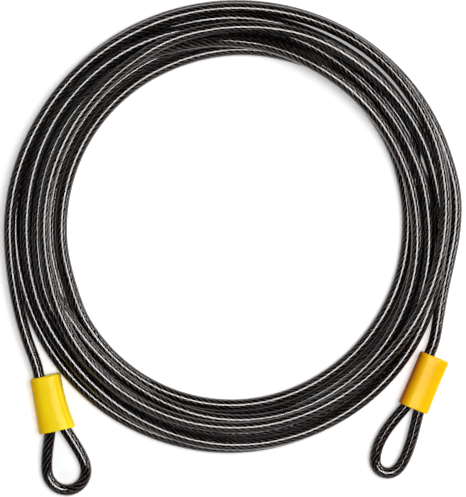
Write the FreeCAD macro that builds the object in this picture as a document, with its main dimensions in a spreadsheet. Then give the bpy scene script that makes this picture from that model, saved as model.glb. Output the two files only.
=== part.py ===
"""A loosely coiled double-loop security cable, in millimetres.

A jacketed wire rope lies on the floor in a flat coil. Each of its two ends is folded back
into a teardrop eye, clamped by a crimped ferrule under a moulded cover.
The origin is on the floor under the middle of the whole object, +Z is up, and both eyes
point towards -Y.

The two end fittings share one frame of their own: its origin is the middle of the cover's
open mouth, +X points out to the tip of the eye, and Z = 0 is the plane of the eye.
"""
import FreeCAD, Part
import math
import os
import Sketcher
from FreeCAD import Placement, Rotation, Vector

doc = FreeCAD.newDocument("security_cable")

# ---------------------------------------------------------------- driving dimensions
SIZES = [
    ("cable_diameter", 9.5),
    ("jacket_bore", 6.4),
    ("rope_diameter", 6.3),
    ("coil_height", 30.0),
    ("coil_foot_round", 4.7),
    ("coil_crown_round", 9.0),
    ("coil_middle_y", 16.3),
    ("cover_length", 45.4),
    ("cover_shoulder_width", 25.0),
    ("cover_shoulder_height", 15.0),
    ("cover_shoulder_round", 2.4),
    ("cover_end_wall", 2.0),
    ("cover_wall", 1.3),
    ("cable_hole", 9.9),
    ("leg_offset", 4.9),
    ("ferrule_length", 32.0),
    ("ferrule_inset", 9.0),
    ("ferrule_width", 21.4),
    ("ferrule_height", 12.0),
    ("ferrule_bore_width", 19.4),
    ("ferrule_bore_height", 9.6),
    ("crimp_width", 5.0),
    ("crimp_depth", 0.5),
    ("crimp_pitch", 9.5),
    ("left_mouth_width", 30.0),
    ("left_mouth_height", 15.6),
    ("left_waist_width", 25.8),
    ("left_waist_shift", -0.7),
    ("right_mouth_width", 25.4),
    ("right_mouth_height", 15.6),
    ("right_waist_width", 24.6),
    ("right_waist_shift", 0.0),
]

sheet = doc.addObject("Spreadsheet::Sheet", "sizes")
for row, (alias, value) in enumerate(SIZES, start=1):
    sheet.set(f"A{row}", alias)
    sheet.set(f"B{row}", str(value))
    sheet.setAlias(f"B{row}", alias)
doc.recompute()


def size(alias):
    """A driving dimension's number."""
    return float(getattr(sheet, alias))


# ---------------------------------------------------------------- where the end fittings lie
# Each fitting rests on the lower rim of its mouth and on the tip of its eye, so it tips down
# towards its eye: a heading in the floor plane, then a downward tip, both in degrees.
MOUTH_RISE = 8.1
FITTINGS = {
    "left": Placement(Vector(-142.3, -147.1, MOUTH_RISE), Rotation(-77.6, 3.8, 0)),
    "right": Placement(Vector(145.2, -129.3, MOUTH_RISE), Rotation(-112.6, 3.2, 0)),
}
# The side of the fitting, in its own Y, on which the cable comes in from the coil.
STANDING_SIDE = -1

# ---------------------------------------------------------------- the cable's route
# Eyes, in the fitting's frame, from the ferrule's mouth round the tip and back to it.
LEFT_EYE = [
    (-3.0, -4.9), (10.0, -9.9), (24.0, -14.6), (36.0, -16.5), (46.6, -11.1), (50.9, 0.0),
    (46.6, 11.1), (36.0, 16.5), (24.0, 14.6), (10.0, 9.9), (-3.0, 4.9),
]
RIGHT_EYE = [
    (-2.0, -4.9), (10.0, -9.0), (24.0, -13.1), (38.0, -14.8), (51.5, -12.5), (57.6, -6.5),
    (57.6, 2.0), (51.5, 8.1), (40.0, 10.0), (26.0, 9.3), (11.0, 7.0), (-2.0, 4.9),
]
EYES = {"left": LEFT_EYE, "right": RIGHT_EYE}
DEAD_END = -40.5

# Tails, in the object's frame, from just outside the cover up to the coil's outermost turn.
TAIL_EXIT = 11.0
LEFT_TAIL = [
    (-166.4, -74.5, 12.2), (-172.6, -52.5, 12.6), (-177.2, -29.5, 12.9),
    (-180.0, -6.0, 13.1), (-180.8, 17.0, 13.2), (-178.6, 40.0, 13.2),
]
RIGHT_TAIL = [
    (165.6, -55.0, 11.4), (169.6, -33.0, 8.4), (174.8, -11.5, 5.8),
    (179.2, 10.0, 4.9), (180.8, 32.0, 4.8), (179.0, 53.0, 4.8),
]
TAILS = {"left": LEFT_TAIL, "right": RIGHT_TAIL}


def eye_route(side):
    """The cable's corners inside the fitting: shoulder, ferrule, eye, ferrule, cut end."""
    leg = STANDING_SIDE * size("leg_offset")
    shoulder = (-size("cover_length"), leg)
    dead_end = (DEAD_END, -leg)
    return [Vector(x, y, 0) for x, y in [shoulder] + EYES[side] + [dead_end]]


def tail_route(side):
    """The cable's corners from the cover's shoulder to the coil, in the object's frame."""
    leg = STANDING_SIDE * size("leg_offset")
    shoulder = -size("cover_length")
    out = [Vector(shoulder, leg, 0), Vector(shoulder - TAIL_EXIT, leg, 0)]
    fitting = FITTINGS[side]
    return [fitting.multVec(point) for point in out] + [Vector(*point) for point in TAILS[side]]


# The share of the shorter run that each bend's arc takes from it.
ARC_SHARE = 0.45
# Every swept solid, with the volume it should have.
expected = []


def rounded_wire(points, name):
    """Straight runs along the points, joined by tangent arcs, as one wire."""
    edges = []
    radii = []
    start = points[0]
    for before, corner, after in zip(points, points[1:], points[2:]):
        arriving = corner - before
        leaving = after - corner
        tangent = ARC_SHARE * min(arriving.Length, leaving.Length)
        turn = arriving.getAngle(leaving)
        radius = tangent / math.tan(turn / 2)
        radii.append(radius)
        arriving.normalize()
        leaving.normalize()
        entry = corner - arriving * tangent
        leave = corner + leaving * tangent
        inward = leaving - arriving
        inward.normalize()
        middle = corner + inward * (radius / math.cos(turn / 2) - radius)
        edges.append(Part.LineSegment(start, entry).toShape())
        edges.append(Part.Arc(entry, middle, leave).toShape())
        start = leave
    edges.append(Part.LineSegment(start, points[-1]).toShape())
    print(name, "arc radii:", " ".join(f"{radius:.1f}" for radius in radii))
    return Part.Wire(edges)


def swept(name, route, wire, diameter):
    """A solid round bar along a route, whose diameter is the expression given."""
    profile = doc.addObject("Part::Circle", name + "_profile")
    profile.setExpression("Radius", f"({diameter}) / 2")
    first = wire.Edges[0]
    heading = first.Vertexes[1].Point - first.Vertexes[0].Point
    profile.Placement = Placement(first.Vertexes[0].Point, Rotation(Vector(0, 0, 1), heading))
    bar = doc.addObject("Part::Sweep", name)
    bar.Sections = [profile]
    bar.Spine = (route, [f"Edge{number + 1}" for number in range(len(wire.Edges))])
    bar.Solid = True
    bar.Frenet = False
    return bar


def cable_stretch(name, points, place=None):
    """One stretch of the cable: its jacket, a thick tube, and the wire rope inside it."""
    wire = rounded_wire(points, name)
    route = doc.addObject("Part::Feature", name + "_route")
    route.Shape = wire
    jacket = doc.addObject("Part::Cut", name + "_jacket_body")
    jacket.Base = swept(name + "_outside", route, wire, "sizes.cable_diameter")
    jacket.Tool = swept(name + "_bore", route, wire, "sizes.jacket_bore")
    jacket.Label = name + "_jacket"
    rope = swept(name + "_rope_body", route, wire, "sizes.rope_diameter")
    rope.Label = name + "_rope"
    for piece in (jacket, rope):
        piece.Placement = place or Placement()
    ring_area = math.pi / 4 * (size("cable_diameter") ** 2 - size("jacket_bore") ** 2)
    rod_area = math.pi / 4 * size("rope_diameter") ** 2
    expected.append((jacket, ring_area * wire.Length))
    expected.append((rope, rod_area * wire.Length))
    return [jacket, rope]


# ---------------------------------------------------------------- PartDesign helpers
def origin_plane(body, role):
    """One of the body's own origin planes."""
    return next(f for f in body.Origin.OriginFeatures if f.Role == role)


def sketch_on(body, name, role="YZ_Plane", offset=None):
    """An empty sketch on one of the body's planes, moved along its normal by an expression."""
    sketch = body.newObject("Sketcher::SketchObject", name)
    sketch.AttachmentSupport = (origin_plane(body, role), [""])
    sketch.MapMode = "FlatFace"
    if offset:
        sketch.setExpression("AttachmentOffset.Base.z", offset)
    return sketch


def add_oval(sketch, width, height, shift=None):
    """A flat-sided oval: two half circles joined by two lines, sized by expressions."""
    round_end = 5.0
    reach = 6.0
    right = sketch.addGeometry(Part.ArcOfCircle(
        Part.Circle(Vector(reach, 0, 0), Vector(0, 0, 1), round_end), -math.pi / 2, math.pi / 2))
    left = sketch.addGeometry(Part.ArcOfCircle(
        Part.Circle(Vector(-reach, 0, 0), Vector(0, 0, 1), round_end), math.pi / 2, 3 * math.pi / 2))
    top = sketch.addGeometry(Part.LineSegment(
        Vector(reach, round_end, 0), Vector(-reach, round_end, 0)))
    bottom = sketch.addGeometry(Part.LineSegment(
        Vector(-reach, -round_end, 0), Vector(reach, -round_end, 0)))
    start, end, centre = 1, 2, 3
    add = sketch.addConstraint
    add(Sketcher.Constraint("Tangent", right, end, top, start))
    add(Sketcher.Constraint("Tangent", top, end, left, start))
    add(Sketcher.Constraint("Tangent", left, end, bottom, start))
    add(Sketcher.Constraint("Tangent", bottom, end, right, start))
    add(Sketcher.Constraint("Horizontal", top))
    add(Sketcher.Constraint("Equal", right, left))
    add(Sketcher.Constraint("PointOnObject", right, centre, -1))
    named = {
        "end_radius": (Sketcher.Constraint("Radius", right, round_end), f"({height}) / 2"),
        "span": (Sketcher.Constraint("DistanceX", left, centre, right, centre, 2 * reach),
                 f"({width}) - ({height})"),
        "right_reach": (Sketcher.Constraint("DistanceX", -1, start, right, centre, reach),
                        f"(({width}) - ({height})) / 2 + ({shift or 0})"),
    }
    for name, (constraint, expression) in named.items():
        index = add(constraint)
        sketch.renameConstraint(index, name)
        sketch.setExpression(f"Constraints.{name}", expression)


def loft_through(body, loft, side, kind, stations):
    """Runs a loft through ovals, each given as its name, place, width, height and shift."""
    ovals = []
    for station, distance, width, height, shift in stations:
        sketch = sketch_on(body, f"{side}_{station}_{kind}", offset=distance)
        add_oval(sketch, width, height, shift)
        ovals.append(sketch)
    doc.recompute()
    loft.Profile = ovals[0]
    loft.Sections = ovals[1:]
    loft.Ruled = True
    doc.recompute()


# ---------------------------------------------------------------- the coil
# The heap of turns seen from above, as angle in degrees and radius about the coil's middle.
# It steps in where each tail lies against it: at 183 degrees on the left, 345 on the right.
COIL_OUTLINE = [
    (12, 182.6), (30, 186.0), (60, 186.3), (90, 184.6), (120, 182.6), (150, 181.0),
    (168, 181.4), (183, 176.0), (196, 176.8), (212, 179.4), (224, 180.8), (240, 184.2),
    (258, 184.8), (275, 182.0), (300, 178.4), (326, 178.0), (345, 173.2), (360, 174.6),
]
COIL_HOLE = [
    (0, 136.3), (30, 139.0), (60, 141.3), (90, 140.0), (120, 138.0), (150, 136.2),
    (180, 135.2), (210, 138.0), (240, 140.5), (270, 140.3), (300, 137.6), (330, 136.1),
]


def coil_block(name, outline):
    """A block of the coil's height inside a smooth closed outline."""
    points = [
        Vector(radius * math.cos(math.radians(angle)), radius * math.sin(math.radians(angle)), 0)
        for angle, radius in outline
    ]
    curve = Part.BSplineCurve()
    curve.interpolate(points, PeriodicFlag=True)
    edge = doc.addObject("Part::Feature", name + "_edge")
    edge.Shape = Part.Wire([curve.toShape()])
    block = doc.addObject("Part::Extrusion", name)
    block.Base = edge
    block.DirMode = "Custom"
    block.Dir = Vector(0, 0, 1)
    block.setExpression("LengthFwd", "sizes.coil_height")
    block.Solid = True
    return block


def make_coil():
    """The outer shape of the coiled turns: a low ring with a rounded foot and crown."""
    ring = doc.addObject("Part::Cut", "coil_ring")
    ring.Base = coil_block("coil_outline", COIL_OUTLINE)
    ring.Tool = coil_block("coil_hole", COIL_HOLE)
    doc.recompute()
    rounded = doc.addObject("Part::Fillet", "coil_body")
    rounded.Base = ring
    rounds = []
    for number, edge in enumerate(ring.Shape.Edges, start=1):
        box = edge.BoundBox
        if box.ZMax < 0.01:
            radius = size("coil_foot_round")
        elif box.ZMin > size("coil_height") - 0.01:
            radius = size("coil_crown_round")
        else:
            continue
        rounds.append((number, radius, radius))
    rounded.Edges = rounds
    rounded.Label = "coil"
    rounded.Placement = Placement(Vector(0, size("coil_middle_y"), 0), Rotation())
    return rounded


# ---------------------------------------------------------------- the ferrules
def make_ferrule(side):
    """A thick oval sleeve round both legs of the eye, with three crimp bands on each face."""
    body = doc.addObject("PartDesign::Body", side + "_ferrule_body")
    body.Label = side + "_ferrule"
    outside = sketch_on(body, side + "_ferrule_outline", offset="-sizes.ferrule_inset")
    add_oval(outside, "sizes.ferrule_width", "sizes.ferrule_height")
    sleeve = body.newObject("PartDesign::Pad", side + "_ferrule_sleeve")
    sleeve.Profile = outside
    sleeve.setExpression("Length", "sizes.ferrule_length")
    sleeve.Reversed = True
    doc.recompute()

    bore_sketch = sketch_on(body, side + "_ferrule_bore_outline", offset="-sizes.ferrule_inset")
    add_oval(bore_sketch, "sizes.ferrule_bore_width", "sizes.ferrule_bore_height")
    bore = body.newObject("PartDesign::Pocket", side + "_ferrule_bore")
    bore.Profile = bore_sketch
    bore.Type = "ThroughAll"
    doc.recompute()

    bands = sketch_on(body, side + "_crimp_outline", role="XZ_Plane")
    half_height = size("ferrule_height") / 2
    first = -size("ferrule_inset") - size("ferrule_length") / 2 - size("crimp_pitch")
    half_width = size("crimp_width") / 2
    floor = half_height - size("crimp_depth")
    for face in (1, -1):
        corners = [
            Vector(first - half_width, face * floor, 0),
            Vector(first + half_width, face * floor, 0),
            Vector(first + half_width, face * (half_height + 1), 0),
            Vector(first - half_width, face * (half_height + 1), 0),
        ]
        for here, there in zip(corners, corners[1:] + corners[:1]):
            bands.addGeometry(Part.LineSegment(here, there))
    crimp = body.newObject("PartDesign::Pocket", side + "_crimp")
    crimp.Profile = bands
    crimp.Type = "ThroughAll"
    crimp.Midplane = True
    doc.recompute()
    crimps = body.newObject("PartDesign::LinearPattern", side + "_crimps")
    crimps.Originals = [crimp]
    crimps.Direction = (bands, ["H_Axis"])
    crimps.setExpression("Length", "2 * sizes.crimp_pitch")
    crimps.Occurrences = 3
    body.Tip = crimps
    body.Placement = FITTINGS[side]
    return body


# ---------------------------------------------------------------- the covers
# The share of a rounding's radius that is left at the middle of its quarter turn.
BEVEL = 1 - math.sqrt(0.5)


def make_cover(side):
    """A moulded shell: closed at the shoulder but for the cable's hole, open at the eye."""
    body = doc.addObject("PartDesign::Body", side + "_cover_body")
    body.Label = side + "_cover"
    width = "sizes.cover_shoulder_width"
    height = "sizes.cover_shoulder_height"
    end = "-sizes.cover_length"
    rounding = "sizes.cover_shoulder_round"
    waist = ("waist", f"{end} / 2", f"sizes.{side}_waist_width", height,
             f"sizes.{side}_waist_shift")
    mouth = ("mouth", "0", f"sizes.{side}_mouth_width", f"sizes.{side}_mouth_height", "0")
    outside = [
        ("cap", end, f"{width} - 2 * {rounding}", f"{height} - 2 * {rounding}", "0"),
        ("bevel", f"{end} + {BEVEL} * {rounding}", f"{width} - 2 * {BEVEL} * {rounding}",
         f"{height} - 2 * {BEVEL} * {rounding}", "0"),
        ("shoulder", f"{end} + {rounding}", width, height, "0"),
        waist,
        mouth,
    ]
    shell = body.newObject("PartDesign::AdditiveLoft", side + "_cover_outside")
    loft_through(body, shell, side, "outline", outside)

    wall = "2 * sizes.cover_wall"
    inside = [("floor", f"{end} + sizes.cover_end_wall", width, height, "0"), waist, mouth]
    inside = [(name, where, f"{wide} - {wall}", f"{high} - {wall}", shift)
              for name, where, wide, high, shift in inside]
    hollow = body.newObject("PartDesign::SubtractiveLoft", side + "_cover_inside")
    loft_through(body, hollow, side, "hollow", inside)

    circle_sketch = sketch_on(body, side + "_cable_hole_outline", offset="-sizes.cover_length")
    circle = circle_sketch.addGeometry(Part.Circle(
        Vector(STANDING_SIDE * size("leg_offset"), 0, 0), Vector(0, 0, 1), size("cable_hole") / 2))
    radius = circle_sketch.addConstraint(
        Sketcher.Constraint("Radius", circle, size("cable_hole") / 2))
    circle_sketch.renameConstraint(radius, "hole_radius")
    circle_sketch.setExpression("Constraints.hole_radius", "sizes.cable_hole / 2")
    circle_sketch.addConstraint(Sketcher.Constraint("PointOnObject", circle, 3, -1))
    reach = circle_sketch.addConstraint(
        Sketcher.Constraint("DistanceX", circle, 3, -1, 1, size("leg_offset")))
    circle_sketch.renameConstraint(reach, "hole_reach")
    circle_sketch.setExpression("Constraints.hole_reach", "sizes.leg_offset")
    hole = body.newObject("PartDesign::Pocket", side + "_cable_hole")
    hole.Profile = circle_sketch
    hole.setExpression("Length", "2 * sizes.cover_end_wall")
    hole.Reversed = True
    body.Tip = hole
    body.Placement = FITTINGS[side]
    return body


# ---------------------------------------------------------------- the whole object
pieces = [make_coil()]
for side in ("left", "right"):
    pieces += cable_stretch(side + "_tail", tail_route(side))
    pieces += cable_stretch(side + "_eye", eye_route(side), FITTINGS[side])
    pieces.append(make_ferrule(side))
    pieces.append(make_cover(side))
doc.recompute()

# ---------------------------------------------------------------- checks, then the files
broken = [item.Name for item in doc.Objects if {"Invalid", "Error"} & set(item.State)]
if broken:
    raise RuntimeError("failed objects: " + ", ".join(broken))
for piece in pieces:
    if piece.Shape.isNull() or not piece.Shape.isValid() or len(piece.Shape.Solids) != 1:
        raise RuntimeError("bad shape: " + piece.Label)
for piece, volume in expected:
    share = piece.Shape.Volume / volume
    print(f"{piece.Label}: volume is {share:.4f} of section times length")
    if abs(share - 1) > 0.01:
        raise RuntimeError("wrong volume: " + piece.Label)

whole = FreeCAD.BoundBox()
os.makedirs("parts", exist_ok=True)
for piece in pieces:
    box = piece.Shape.optimalBoundingBox(False)
    whole.add(box)
    print(f"{piece.Label}: {piece.Shape.Volume:.0f} mm3, lowest {box.ZMin:.2f}")
    piece.Shape.exportStep(f"parts/{piece.Label}.step")
print("box", whole)
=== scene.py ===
"""Looks of the double-loop security cable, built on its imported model, in metres.

The cable is one line from cut end to cut end: left ferrule, left eye, left tail, the coil's
turns, right tail, right eye, right ferrule. A small settling loop lays the coil's turns on the
floor and on each other. It doesn't catch every crossing: see settle_coil.
"""
import math

import bpy
import numpy as np
from mathutils import Matrix, Vector


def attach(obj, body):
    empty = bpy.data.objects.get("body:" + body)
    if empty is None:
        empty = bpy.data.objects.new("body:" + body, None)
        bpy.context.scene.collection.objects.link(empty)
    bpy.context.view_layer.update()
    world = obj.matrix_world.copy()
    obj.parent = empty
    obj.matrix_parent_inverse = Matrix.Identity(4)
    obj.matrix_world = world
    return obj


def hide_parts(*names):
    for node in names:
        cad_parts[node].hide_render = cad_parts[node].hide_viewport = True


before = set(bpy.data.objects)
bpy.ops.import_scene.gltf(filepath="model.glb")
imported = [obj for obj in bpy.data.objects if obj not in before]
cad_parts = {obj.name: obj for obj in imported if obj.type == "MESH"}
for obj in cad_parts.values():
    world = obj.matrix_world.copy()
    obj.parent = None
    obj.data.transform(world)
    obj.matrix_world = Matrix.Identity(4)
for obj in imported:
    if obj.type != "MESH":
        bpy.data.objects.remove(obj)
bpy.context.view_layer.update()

MM = 0.001

# ---------------------------------------------------------------- camera
CAMERA_HEIGHT = 1.8
CAMERA_OVER = (-0.0003, -0.0004)
FIELD_HEIGHT = 0.4036
SENSOR = 24.0


def make_camera():
    """Straight down on the coil from far off, as tall as the picture shows."""
    data = bpy.data.cameras.new("camera")
    data.sensor_fit = "VERTICAL"
    data.sensor_height = SENSOR
    data.lens = SENSOR * CAMERA_HEIGHT / FIELD_HEIGHT
    camera = bpy.data.objects.new("camera", data)
    camera.location = (*CAMERA_OVER, CAMERA_HEIGHT)
    bpy.context.scene.collection.objects.link(camera)
    bpy.context.scene.camera = camera


make_camera()

# ---------------------------------------------------------------- the cable's sizes
CABLE = 9.5 * MM
STRAND = 2.1 * MM
LAY = 35.0 * MM
OUTER_STRANDS = 6

# How finely the cable is meshed: steps along the jacket and in each lay of the rope.
JACKET_STEP = 2.3 * MM
JACKET_SIDES = 24
ROPE_STEPS = 16
CORE_SIDES = 8
STRAND_SIDES = 10

# ---------------------------------------------------------------- where the end fittings lie
# Each fitting's frame: origin in the middle of the cover's mouth, +X out to the eye's tip.
# LEG is how far each leg of the eye is from the middle, where the ferrule holds them.
LEG = 4.9


def fitting(x, y, z, heading, tip):
    """A fitting's frame from its place in millimetres, heading and downward tip in degrees."""
    yaw = math.radians(heading)
    pitch = math.radians(tip)
    turn = Matrix.Rotation(yaw, 4, "Z") @ Matrix.Rotation(pitch, 4, "Y")
    return Matrix.Translation(Vector((x, y, z)) * MM) @ turn @ Matrix.Scale(MM, 4)


FITTINGS = {
    "left": fitting(-142.3, -147.1, 8.1, -77.6, 3.8),
    "right": fitting(145.2, -129.3, 8.1, -112.6, 3.2),
}

# ---------------------------------------------------------------- the cable's route
# The eyes and what is in the covers are in their fitting's frame, the tails in the object's,
# all in millimetres.
LEFT_EYE = [
    (-16.9, -LEG), (-3.0, -LEG), (10.0, -9.9), (24.0, -14.6), (36.0, -16.5), (46.6, -11.1),
    (50.9, 0.0), (46.6, 11.1), (36.0, 16.5), (24.0, 14.6), (10.0, 9.9), (-3.0, LEG),
    (-16.9, LEG),
]
RIGHT_EYE = [
    (-14.7, -LEG), (-2.0, -LEG), (10.0, -9.0), (24.0, -13.1), (38.0, -14.8), (51.5, -12.5),
    (57.6, -6.5), (57.6, 2.0), (51.5, 8.1), (40.0, 10.0), (26.0, 9.3), (11.0, 7.0),
    (-2.0, LEG), (-14.7, LEG),
]
DEAD_END = (-40.5, LEG)
SHOULDER = [(-45.4, -LEG), (-56.4, -LEG)]
LEFT_TAIL = [
    (-166.4, -74.5, 12.2), (-172.6, -52.5, 12.6), (-177.2, -29.5, 12.9), (-180.0, -6.0, 13.1),
]
RIGHT_TAIL = [
    (165.6, -55.0, 11.4), (169.6, -33.0, 8.4), (174.8, -11.5, 5.8), (179.2, 10.0, 4.9),
    (180.8, 32.0, 4.8), (179.0, 53.0, 4.8),
]

# The coil's nine passes, as the radius wanted about the coil's middle at every eighth of a turn,
# clockwise from the left. The first pass was laid last and starts on top.
COIL_MIDDLE = (0.0, 16.3)
PASSES = [
    # 180    135    90     45     0      -45    -90    -135
    (181.0, 177.0, 177.5, 180.1, 169.5, 161.5, 161.0, 158.5),
    (152.5, 153.6, 161.0, 167.0, 168.5, 172.5, 175.5, 168.5),
    (166.5, 168.5, 162.0, 156.0, 157.0, 163.5, 165.5, 161.0),
    (158.5, 158.5, 150.0, 145.4, 148.5, 156.0, 155.0, 149.5),
    (158.8, 159.8, 157.8, 161.0, 152.0, 149.5, 152.0, 152.0),
    (149.3, 150.5, 153.0, 147.0, 141.4, 142.5, 145.4, 143.9),
    (139.9, 141.4, 145.0, 151.5, 159.0, 160.5, 165.0, 168.0),
    (168.0, 170.0, 170.4, 168.2, 168.4, 173.0, 178.0, 178.8),
    (176.3, 177.0, 180.1, 183.0, 181.5, 178.0),
]
# The turns are worked out at this many stations a turn, and the right tail takes over from them
# at the last one.
STATIONS = 96
LAST_STATION = 8 * STATIONS + 43
STATIONS_APART = 2

# ---------------------------------------------------------------- how the turns settle
ROUNDS = 1500
TOUCHING = 9.6
FIRST_HEIGHT_IN_TURNS = 8.6
DROP_PER_TURN = 5.5
SINK = 0.10
LEVELLING = 0.6
LEVELLED_STATIONS = 9
PULL_TO_WANTED = 0.25
STIFFNESS = 0.06
PUSHES = 4
PUSH = 0.45


def smooth_through(values, steps):
    """A smooth line through the values, with that many steps between two of them."""
    values = np.array([2 * values[0] - values[1], *values, 2 * values[-1] - values[-2]])
    t = np.arange(steps) / steps
    line = []
    for a, b, c, d in zip(values, values[1:], values[2:], values[3:]):
        line.append(0.5 * (2 * b + (c - a) * t + (2 * a - 5 * b + 4 * c - d) * t ** 2
                           + (3 * b - 3 * c + d - a) * t ** 3))
    return np.append(np.concatenate(line), values[-2])


def settle_coil():
    """Lays the turns down: they sink, push each other apart and resist sharp bends.

    Two turns push each other only where both are at the same station, and the tails push
    nothing. So where turns cross steeply between two stations, and beside the right tail, the
    cable still runs into itself, by 3.6 mm at the worst place.
    """
    wanted = smooth_through([radius for row in PASSES for radius in row], STATIONS // 8)
    count = len(wanted)
    floor = CABLE / MM / 2
    level = np.ones(LEVELLED_STATIONS) / LEVELLED_STATIONS
    radius = wanted.copy()
    height = floor + (FIRST_HEIGHT_IN_TURNS - np.arange(count) / STATIONS) * DROP_PER_TURN
    for _ in range(ROUNDS):
        height -= SINK
        padded = np.pad(height, LEVELLED_STATIONS // 2, "edge")
        height += LEVELLING * (np.convolve(padded, level, "valid") - height)
        radius += PULL_TO_WANTED * (wanted - radius)
        for line in (radius, height):
            second = np.zeros(count)
            second[1:-1] = line[2:] - 2 * line[1:-1] + line[:-2]
            line[2:-2] -= STIFFNESS * (second[3:-1] - 2 * second[2:-2] + second[1:-3])
        for _ in range(PUSHES):
            for turns in range(1, len(PASSES)):
                apart = turns * STATIONS
                sideways = radius[apart:] - radius[:-apart]
                upwards = height[apart:] - height[:-apart]
                distance = np.hypot(sideways, upwards) + 1e-9
                push = PUSH * np.clip(TOUCHING - distance, 0, None) / distance
                radius[apart:] += sideways * push
                radius[:-apart] -= sideways * push
                height[apart:] += upwards * push
                height[:-apart] -= upwards * push
            np.maximum(height, floor, out=height)
    return radius, height


def coil_points():
    """The turns as points of the cable's line."""
    radius, height = settle_coil()
    points = []
    for station in range(0, LAST_STATION, STATIONS_APART):
        angle = math.pi - 2 * math.pi * station / STATIONS
        points.append(Vector((
            COIL_MIDDLE[0] + radius[station] * math.cos(angle),
            COIL_MIDDLE[1] + radius[station] * math.sin(angle),
            height[station],
        )) * MM)
    return points


def in_fitting(side, flat):
    """Points of the eye's plane in the object's frame."""
    return [FITTINGS[side] @ Vector((x, y, 0)) for x, y in flat]


def cable_points():
    """The whole cable, from the cut end in the left ferrule to the one in the right ferrule."""
    left_in = in_fitting("left", [DEAD_END] + LEFT_EYE[::-1] + SHOULDER)
    left_tail = [Vector(point) * MM for point in LEFT_TAIL]
    right_tail = [Vector(point) * MM for point in RIGHT_TAIL[::-1]]
    right_in = in_fitting("right", SHOULDER[::-1] + RIGHT_EYE + [DEAD_END])
    return left_in + left_tail + coil_points() + right_tail + right_in


def add_object(name, data):
    """A new object that rides with the frame's one body."""
    thing = bpy.data.objects.new(name, data)
    bpy.context.scene.collection.objects.link(thing)
    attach(thing, "root")
    return thing


def smooth_line(points):
    """The points that the cable's smooth line, with these control points, passes through."""
    data = bpy.data.curves.new("route", "CURVE")
    data.dimensions = "3D"
    data.resolution_u = 12
    spline = data.splines.new("NURBS")
    spline.points.add(len(points) - 1)
    for knot, point in zip(spline.points, points):
        knot.co = (*point, 1.0)
    spline.order_u = 3
    spline.use_endpoint_u = True
    route = bpy.data.objects.new("route", data)
    mesh = bpy.data.meshes.new_from_object(route)
    line = np.array([tuple(vertex.co) for vertex in mesh.vertices])
    bpy.data.objects.remove(route)
    bpy.data.curves.remove(data)
    bpy.data.meshes.remove(mesh)
    return line


def unit(rows):
    """Each row scaled to length one."""
    return rows / np.linalg.norm(rows, axis=1)[:, None]


def along(points, step):
    """The line cut into equal steps, and how far along it each of its new points is."""
    steps = np.linalg.norm(np.diff(points, axis=0), axis=1)
    keep = np.append(True, steps > 1e-7)
    points = points[keep]
    distance = np.append(0, np.cumsum(np.linalg.norm(np.diff(points, axis=0), axis=1)))
    where = np.linspace(0, distance[-1], int(distance[-1] / step) + 1)
    even = np.stack([np.interp(where, distance, points[:, axis]) for axis in range(3)], axis=1)
    return even, where


def frames(points):
    """At each point: the direction sideways along the floor, and the one up from it."""
    forward = unit(np.gradient(points, axis=0))
    sideways = unit(np.cross([0.0, 0.0, 1.0], forward))
    return sideways, np.cross(forward, sideways)


def tube(name, line, radius, sides, turn=0.0):
    """A closed round tube along a line, with its girth, counted from turn, and length as UVs.

    The turn is one angle for the whole tube, or one for each point of the line.
    """
    sideways, upwards = frames(line)
    girth = np.arange(sides) * 2 * math.pi / sides + np.atleast_1d(turn)[:, None]
    rings = (line[:, None]
             + radius * np.cos(girth)[..., None] * sideways[:, None]
             + radius * np.sin(girth)[..., None] * upwards[:, None])
    count = len(line)
    ring = np.arange(count - 1)[:, None] * sides
    here = np.arange(sides)[None, :]
    there = (here + 1) % sides
    walls = np.stack([ring + here, ring + there, ring + sides + there, ring + sides + here],
                     axis=-1).reshape(-1, 4)
    faces = walls.tolist()
    faces.append(list(range(sides))[::-1])
    faces.append(list(range((count - 1) * sides, count * sides)))
    mesh = bpy.data.meshes.new(name)
    mesh.from_pydata(rings.reshape(-1, 3).tolist(), [], faces)
    length = np.append(0, np.cumsum(np.linalg.norm(np.diff(line, axis=0), axis=1)))
    start = np.repeat(length[:-1], sides)
    end = np.repeat(length[1:], sides)
    left = np.tile(np.arange(sides) / sides, count - 1)
    right = left + 1 / sides
    wall_uv = np.stack([left, start, right, start, right, end, left, end], axis=-1).ravel()
    layer = mesh.uv_layers.new(name="girth_and_length")
    values = np.zeros(len(mesh.loops) * 2)
    values[:len(wall_uv)] = wall_uv
    layer.data.foreach_set("uv", values)
    mesh.polygons.foreach_set("use_smooth", [True] * len(walls) + [False, False])
    mesh.update()
    return add_object(name, mesh)


def make_rope(points):
    """Six outer strands laid right-handed round a straight core strand."""
    line, where = along(points, LAY / ROPE_STEPS)
    sideways, upwards = frames(line)
    strands = [tube("core_strand", line, STRAND / 2, CORE_SIDES)]
    for number in range(OUTER_STRANDS):
        turn = 2 * math.pi * (where / LAY + number / OUTER_STRANDS)
        offset = STRAND * (np.cos(turn)[:, None] * sideways + np.sin(turn)[:, None] * upwards)
        strands.append(tube(f"strand_{number + 1}", line + offset, STRAND / 2, STRAND_SIDES,
                            turn))
    return strands


route_line = smooth_line(cable_points())
jacket_line, _ = along(route_line, JACKET_STEP)
jacket = tube("jacket", jacket_line, CABLE / 2, JACKET_SIDES)
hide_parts("coil", "left_tail_jacket", "left_eye_jacket",
            "right_tail_jacket", "right_eye_jacket")
rope = make_rope(route_line)
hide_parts("left_tail_rope", "left_eye_rope", "right_tail_rope", "right_eye_rope")

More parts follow.
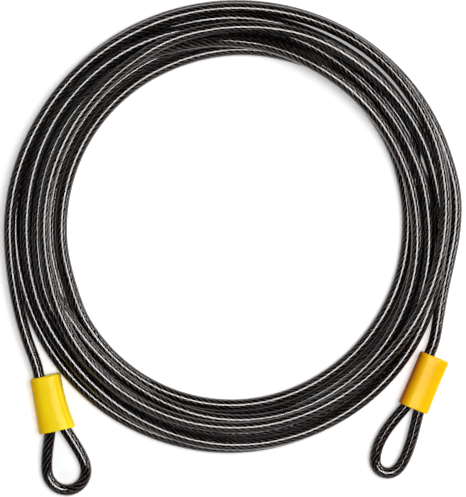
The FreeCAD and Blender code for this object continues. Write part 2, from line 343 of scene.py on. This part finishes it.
# ---------------------------------------------------------------- the covers
# Half width and half height at the mouth and waist, and how far the waist is to one side.
SHAPES = {
    "left": {"mouth": (15.0, 7.8), "waist": (13.0, 7.5), "shift": -0.7},
    "right": {"mouth": (12.7, 7.8), "waist": (12.3, 7.5), "shift": 0.0},
}
SHOULDER_HALVES = (12.5, 7.5)
COVER_LENGTH = 45.4
SHOULDER_ROUND = 2.0
WALL = 1.25
RIM_ROUND = 0.45
END_WALL = 2.0
HOLE = 4.95
HOLE_EDGE = 0.2
HOLE_FLARE = 0.1
PARTING_HEIGHT = 0.12
PARTING_WIDTH = 0.45
# The ovals' sections are superellipses: 1 would be an ellipse, and less is nearer a box.
SQUARENESS = 0.74
SIDES = 128
ROUND_STEPS = 8
OUTER_STEPS = 24
INNER_STEPS = 12


def oval(half_width, half_height, shift):
    """A long oval about (shift, 0), between an ellipse and a rounded box."""
    points = []
    for number in range(SIDES):
        angle = 2 * math.pi * number / SIDES
        y, z = math.cos(angle), math.sin(angle)
        points.append((shift + half_width * math.copysign(abs(y) ** SQUARENESS, y),
                       half_height * math.copysign(abs(z) ** SQUARENESS, z)))
    return points


def section(shape, x, inset):
    """The cover's oval at x, from minus its length at the shoulder to 0 at the mouth."""
    t = -x / COVER_LENGTH
    mouth, waist, shoulder = (1 - t) * (1 - 2 * t), 4 * t * (1 - t), t * (2 * t - 1)
    half_width, half_height = (
        mouth * shape["mouth"][axis] + waist * shape["waist"][axis]
        + shoulder * SHOULDER_HALVES[axis] - inset for axis in range(2))
    return [(x, y, z) for y, z in oval(half_width, half_height, waist * shape["shift"])]


def parting_line(ring, height):
    """Raises the ring at its two narrow ends, where the mould's halves meet."""
    raised = []
    for x, y, z in ring:
        lift = height * math.exp(-(z / PARTING_WIDTH) ** 2)
        raised.append((x, y + math.copysign(lift, y), z))
    return raised


def cover_rings(shape):
    """The shell's rings: out of the cable's hole, over the shoulder, to the rim and back in."""
    quarter = [math.pi / 2 * step / ROUND_STEPS for step in range(ROUND_STEPS + 1)]
    cap = section(shape, -COVER_LENGTH, SHOULDER_ROUND)

    def hole(x, radius):
        ring = []
        for _, y, z in cap:
            reach = math.hypot(y + LEG, z)
            ring.append((x, radius * (y + LEG) / reach - LEG, radius * z / reach))
        return ring

    rings = [hole(END_WALL - COVER_LENGTH, HOLE), hole(HOLE_EDGE - COVER_LENGTH, HOLE),
             hole(-COVER_LENGTH, HOLE + HOLE_FLARE)]
    for angle in quarter:
        rings.append(section(shape, SHOULDER_ROUND * (1 - math.cos(angle)) - COVER_LENGTH,
                             SHOULDER_ROUND * (1 - math.sin(angle))))
    start = SHOULDER_ROUND - COVER_LENGTH
    for step in range(1, OUTER_STEPS):
        x = start + (-RIM_ROUND - start) * step / OUTER_STEPS
        rings.append(parting_line(section(shape, x, 0), PARTING_HEIGHT))
    for angle in quarter:
        rings.append(section(shape, -RIM_ROUND * (1 - math.sin(angle)),
                             RIM_ROUND * (1 - math.cos(angle))))
    for angle in quarter[::-1]:
        rings.append(section(shape, -RIM_ROUND * (1 - math.sin(angle)),
                             WALL - RIM_ROUND * (1 - math.cos(angle))))
    for step in range(1, INNER_STEPS + 1):
        x = -RIM_ROUND + (END_WALL - COVER_LENGTH + RIM_ROUND) * step / INNER_STEPS
        rings.append(section(shape, x, WALL))
    return rings


def make_cover(side):
    """A moulded shell with a rounded shoulder, a hole for the cable and a rounded rim."""
    rings = cover_rings(SHAPES[side])
    place = FITTINGS[side]
    count = len(rings)
    faces = []
    for number in range(count):
        here, there = number * SIDES, (number + 1) % count * SIDES
        for corner in range(SIDES):
            after = (corner + 1) % SIDES
            faces.append((here + corner, here + after, there + after, there + corner))
    mesh = bpy.data.meshes.new(side + "_shell")
    mesh.from_pydata([place @ Vector(point) for ring in rings for point in ring], [], faces)
    mesh.polygons.foreach_set("use_smooth", [True] * len(faces))
    layer = mesh.uv_layers.new(name="round_and_over")
    layer.data.foreach_set("uv", [
        value for ring in range(count) for corner in range(SIDES)
        for step, row in ((0, 0), (1, 0), (1, 1), (0, 1))
        for value in ((corner + step) / SIDES, (ring + row) / count)])
    mesh.update()
    cover = add_object(side + "_shell", mesh)
    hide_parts(side + "_cover")
    return cover


covers = {side: make_cover(side) for side in SHAPES}

# ---------------------------------------------------------------- materials
def material(name, **sockets):
    """A new Principled material, with these sockets set on the shader itself."""
    made = bpy.data.materials.new(name)
    made.use_nodes = True
    shader = made.node_tree.nodes["Principled BSDF"]
    for socket, value in sockets.items():
        shader.inputs[socket.replace("_", " ")].default_value = value
    return made


def add_node(made, kind, inputs=None, **properties):
    """A node with its properties set and its inputs set or linked."""
    node = made.node_tree.nodes.new(kind)
    for name, value in properties.items():
        setattr(node, name, value)
    for name, value in (inputs or {}).items():
        if isinstance(value, bpy.types.NodeSocket):
            made.node_tree.links.new(value, node.inputs[name])
        else:
            node.inputs[name].default_value = value
    return node


def feed(made, socket, output):
    """Links an output to the shader's socket."""
    shader = made.node_tree.nodes["Principled BSDF"]
    made.node_tree.links.new(output, shader.inputs[socket])


def ramp(made, factor, stops):
    """A colour ramp through (place, colour) stops."""
    node = add_node(made, "ShaderNodeValToRGB", {"Fac": factor})
    stops_at = node.color_ramp.elements
    while len(stops_at) < len(stops):
        stops_at.new(0.5)
    for stop, (place, colour) in zip(stops_at, stops):
        stop.position = place
        stop.color = (*colour, 1)
    return node.outputs["Color"]


def grey(level):
    """A grey of this level."""
    return (level, level, level)


def noise(made, where, scale, detail=3.0, rough=0.55):
    """Noise on the object's own coordinates, in features a metre."""
    node = add_node(made, "ShaderNodeTexNoise",
                    {"Vector": where, "Scale": scale, "Detail": detail, "Roughness": rough})
    return node.outputs["Fac"]


def bump(made, height, strength, distance):
    """The normal that a height makes, its full range being that distance high."""
    inputs = {"Height": height, "Strength": strength, "Distance": distance}
    return add_node(made, "ShaderNodeBump", inputs).outputs["Normal"]


def vinyl_material():
    """Smoky clear vinyl: dark, glossy, with handling marks and a faint wave in the skin."""
    made = material("smoky_vinyl", IOR=1.5, Transmission_Weight=1.0, Coat_Weight=0.75,
                    Coat_Roughness=0.04)
    where = add_node(made, "ShaderNodeTexCoord").outputs["Object"]
    cloud = noise(made, where, 60.0)
    feed(made, "Base Color", ramp(made, cloud, [(0.35, (0.100, 0.076, 0.069)),
                                                (0.65, (0.118, 0.092, 0.084))]))
    scuffs = noise(made, where, 420.0, 5.0, 0.7)
    feed(made, "Roughness", ramp(made, scuffs, [(0.5, grey(0.03)), (0.8, grey(0.10))]))
    skin = noise(made, where, 120.0, 2.0)
    feed(made, "Normal", bump(made, skin, 0.10, 0.0003))
    return made


WIRES = 6
WIRE_LAY = 0.016


def steel_material():
    """Bright steel wires that turn in each strand, with painted shade turning the colour near black
    down between the strands.
    """
    made = material("strand_steel", Metallic=1.0)
    place = add_node(made, "ShaderNodeUVMap", uv_map="girth_and_length").outputs["UV"]
    parts = add_node(made, "ShaderNodeSeparateXYZ", {"Vector": place})
    around = add_node(made, "ShaderNodeMath", {0: parts.outputs["X"], 1: 2 * math.pi},
                      operation="MULTIPLY").outputs[0]
    # Painted shade: this is 1 on each strand's outward crest and falls towards the grooves between
    # strands, where it darkens the colour.
    painted_groove_shade = add_node(made, "ShaderNodeMath", {0: around}, operation="COSINE").outputs[0]
    turns = add_node(made, "ShaderNodeMath", {0: parts.outputs["Y"], 1: WIRES * 2 * math.pi / WIRE_LAY},
                     operation="MULTIPLY").outputs[0]
    phase = add_node(made, "ShaderNodeMath", {0: around, 1: WIRES, 2: turns},
                     operation="MULTIPLY_ADD").outputs[0]
    wire = add_node(made, "ShaderNodeMath", {0: phase}, operation="SINE").outputs[0]
    where = add_node(made, "ShaderNodeTexCoord").outputs["Object"]
    stain = noise(made, where, 300.0, 4.0)
    wires_on_painted_groove_shade = add_node(made, "ShaderNodeMath", {0: wire, 1: 0.05, 2: painted_groove_shade},
                     operation="MULTIPLY_ADD").outputs[0]
    shade = add_node(made, "ShaderNodeMath", {0: stain, 1: 0.25, 2: wires_on_painted_groove_shade},
                     operation="MULTIPLY_ADD").outputs[0]
    # Painted shade: the colour goes near black down in the grooves between the strands and bright on
    # each strand's crest; the stain adds random tone.
    feed(made, "Base Color", ramp(made, shade, [(0.62, (0.003, 0.003, 0.003)),
                                                (0.88, (0.09, 0.084, 0.080)),
                                                (1.0, (1.0, 0.95, 0.92))]))
    feed(made, "Roughness", ramp(made, stain, [(0.35, grey(0.28)), (0.7, grey(0.42))]))
    feed(made, "Normal", bump(made, wire, 0.5, 0.0001))
    return made


def yellow_material(name, colour, shade, edge):
    """Soft moulded plastic: uneven colour, with painted shade deepening the colour along one side, and
    fine scratches.
    """
    made = material(name, Specular_IOR_Level=0.18, Subsurface_Weight=0.08,
                    Subsurface_Scale=0.002)
    where = add_node(made, "ShaderNodeTexCoord").outputs["Object"]
    cloud = noise(made, where, 45.0, 4.0)
    place = add_node(made, "ShaderNodeUVMap", uv_map="round_and_over").outputs["UV"]
    parts = add_node(made, "ShaderNodeSeparateXYZ", {"Vector": place})
    around = add_node(made, "ShaderNodeMath", {0: parts.outputs["X"], 1: -2 * math.pi,
                                               2: math.pi}, operation="MULTIPLY_ADD").outputs[0]
    # Painted shade: the colour deepens towards the cover's -Y side, where shade falls.
    toward_painted_shade_side = add_node(made, "ShaderNodeMath", {0: around}, operation="COSINE").outputs[0]
    painted_side_shade = ramp(made, toward_painted_shade_side, [(0.25, grey(0.0)), (0.95, grey(1.0))])
    mixed = add_node(made, "ShaderNodeMix", {
        0: painted_side_shade, 6: ramp(made, cloud, [(0.3, shade), (0.62, colour)]), 7: (*edge, 1)},
        data_type="RGBA")
    feed(made, "Base Color", mixed.outputs[2])
    scratch = noise(made, where, 900.0, 6.0, 0.75)
    feed(made, "Roughness", ramp(made, scratch, [(0.4, grey(0.15)), (0.75, grey(0.28))]))
    grain = noise(made, where, 1500.0, 3.0)
    feed(made, "Normal", bump(made, grain, 0.12, 0.0001))
    return made


def aluminium_material():
    """Drawn aluminium, dulled and scored by the crimping tool."""
    made = material("crimped_aluminium", Metallic=1.0)
    where = add_node(made, "ShaderNodeTexCoord").outputs["Object"]
    cloud = noise(made, where, 160.0, 5.0)
    feed(made, "Base Color", ramp(made, cloud, [(0.3, (0.42, 0.42, 0.43)),
                                                (0.7, (0.70, 0.70, 0.71))]))
    feed(made, "Roughness", ramp(made, cloud, [(0.3, grey(0.30)), (0.7, grey(0.5))]))
    feed(made, "Normal", bump(made, noise(made, where, 1200.0, 4.0), 0.3, 0.0001))
    return made


vinyl = vinyl_material()
jacket.data.materials.append(vinyl)
steel = steel_material()
for strand in rope:
    strand.data.materials.append(steel)
# The last colour of each cover is painted shade, laid along its -Y side.
yellows = {
    "left": yellow_material("lemon_yellow", (0.95, 0.73, 0.012), (0.92, 0.65, 0.010),
                            (0.86, 0.50, 0.006)),
    "right": yellow_material("amber_yellow", (0.92, 0.60, 0.006), (0.88, 0.51, 0.004),
                             (0.50, 0.13, 0.003)),
}
for side, yellow in yellows.items():
    covers[side].data.materials.append(yellow)
aluminium = aluminium_material()
for side in yellows:
    for slot in bpy.data.objects[side + "_ferrule"].material_slots:
        slot.material = aluminium

# ---------------------------------------------------------------- floor and lights
FLOOR_REACH = 3
FLOOR_GLOW = 0.30
WORLD_GLOW = 0.04
GAMMA = 0.87

floor_mesh = bpy.data.meshes.new("floor")
floor_mesh.from_pydata([(FLOOR_REACH * x, FLOOR_REACH * y, 0)
                        for x, y in ((-1, -1), (1, -1), (1, 1), (-1, 1))], [], [(0, 1, 2, 3)])
floor = bpy.data.objects.new("floor", floor_mesh)
bpy.context.scene.collection.objects.link(floor)
floor_mesh.materials.append(material(
    "paper", Base_Color=(0.9, 0.9, 0.9, 1), Roughness=0.9, Emission_Color=(1, 1, 1, 1),
    Emission_Strength=FLOOR_GLOW))

world = bpy.data.worlds.new("world")
world.use_nodes = True
world.node_tree.nodes["Background"].inputs["Color"].default_value = (1, 1, 1, 1)
world.node_tree.nodes["Background"].inputs["Strength"].default_value = WORLD_GLOW
bpy.context.scene.world = world
bpy.context.scene.view_settings.view_transform = "Standard"
bpy.context.scene.view_settings.gamma = GAMMA


def softbox(name, azimuth, elevation, distance, width, height, glow):
    """A rectangle of light that looks at the middle of the floor, glow in shades of white."""
    data = bpy.data.lights.new(name, "AREA")
    data.shape = "RECTANGLE"
    data.size = width
    data.size_y = height
    data.energy = glow * math.pi * width * height
    light = bpy.data.objects.new(name, data)
    turn, tilt = math.radians(azimuth), math.radians(elevation)
    light.location = Vector((math.cos(turn) * math.cos(tilt), math.sin(turn) * math.cos(tilt),
                             math.sin(tilt))) * distance
    light.rotation_euler = light.location.to_track_quat("Z", "Y").to_euler()
    bpy.context.scene.collection.objects.link(light)


softbox("overhead", 8, 81, 2.2, 1.1, 1.1, 9.6)
softbox("right_strip", 25, 28, 1.7, 2.2, 0.15, 16)
softbox("left_strip", 150, 34, 1.7, 2.4, 0.2, 1.5)
softbox("front_strip", -90, 34, 1.7, 2.4, 0.2, 2)
